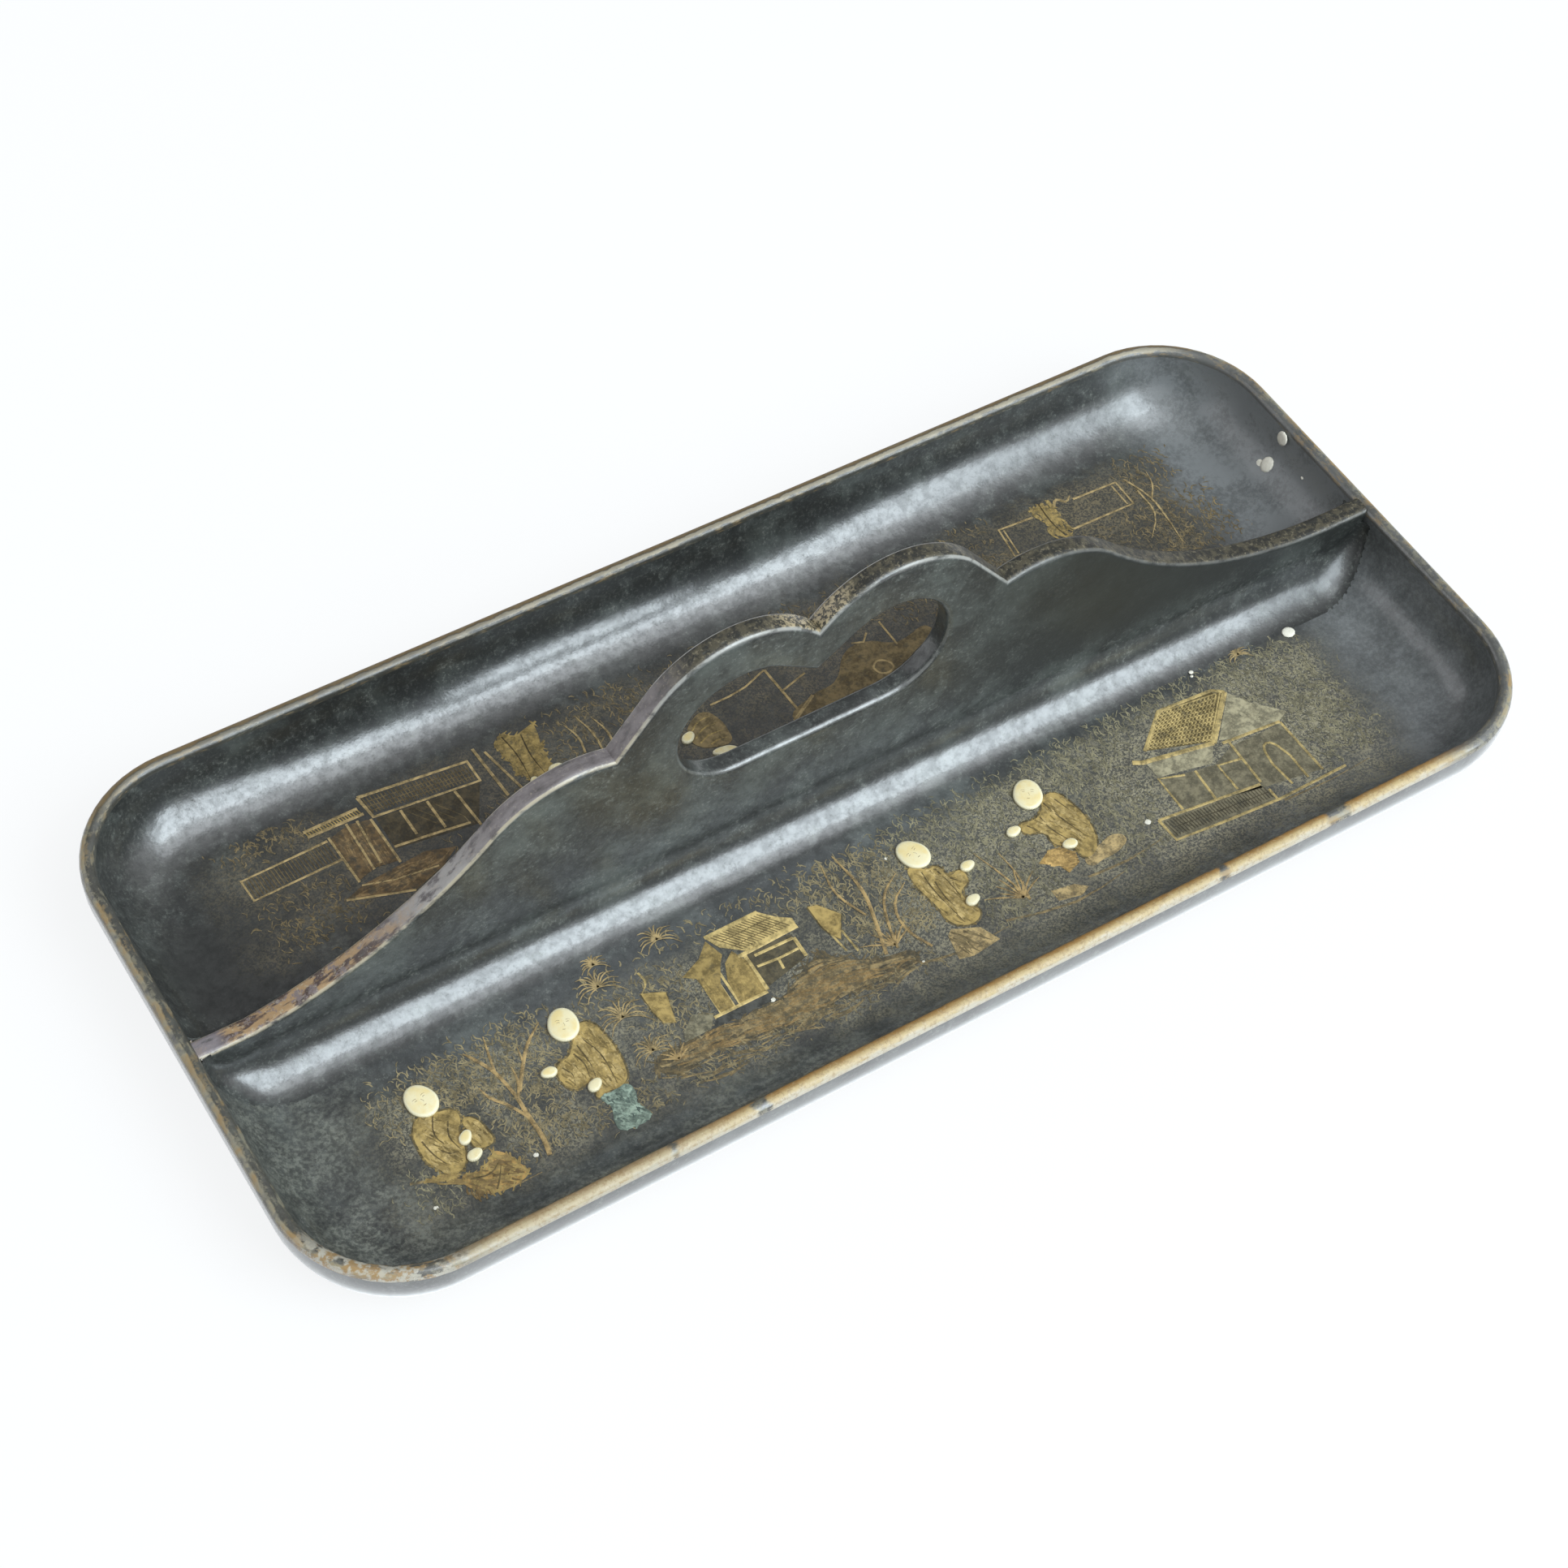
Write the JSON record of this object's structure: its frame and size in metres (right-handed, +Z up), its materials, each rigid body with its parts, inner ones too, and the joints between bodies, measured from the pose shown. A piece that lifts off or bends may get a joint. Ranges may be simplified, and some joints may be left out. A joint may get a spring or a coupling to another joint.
{
  "type": "lacquer pen tray",
  "caption": "Oblong lacquer pen tray with coved sides and round corners, parted lengthwise by a scalloped carrying board with a heart-shaped hand hole, with bone plaques on its floors.",
  "frame": {"origin": "middle of the flat base", "axes": "+X along the tray, +Y across it towards the rear trough, +Z up"},
  "size_m": [0.301, 0.138, 0.076],
  "materials": {
    "shell_lacquer": "gloss black lacquer",
    "board_lacquer": "gloss black lacquer",
    "fillet_lacquer": "gloss black lacquer",
    "bone": "satin"
  },
  "bodies": {
    "root": {"tray_shell": "shell_lacquer", "handle_divider": "board_lacquer", "front_cove_fillet": "fillet_lacquer", "rear_cove_fillet": "fillet_lacquer", "seated_figure_face": "bone", "seated_figure_upper_hand": "bone", "seated_figure_lower_hand": "bone", "stooping_figure_face": "bone", "stooping_figure_far_hand": "bone", "stooping_figure_near_hand": "bone", "standing_figure_face": "bone", "standing_figure_upper_hand": "bone", "standing_figure_lower_hand": "bone", "bowing_figure_face": "bone", "bowing_figure_far_hand": "bone", "bowing_figure_near_hand": "bone", "kneeling_figure_face": "bone", "kneeling_figure_left_hand": "bone", "kneeling_figure_right_hand": "bone", "caped_figure_upper_hand": "bone", "caped_figure_lower_hand": "bone"}
  },
  "joints": []
}
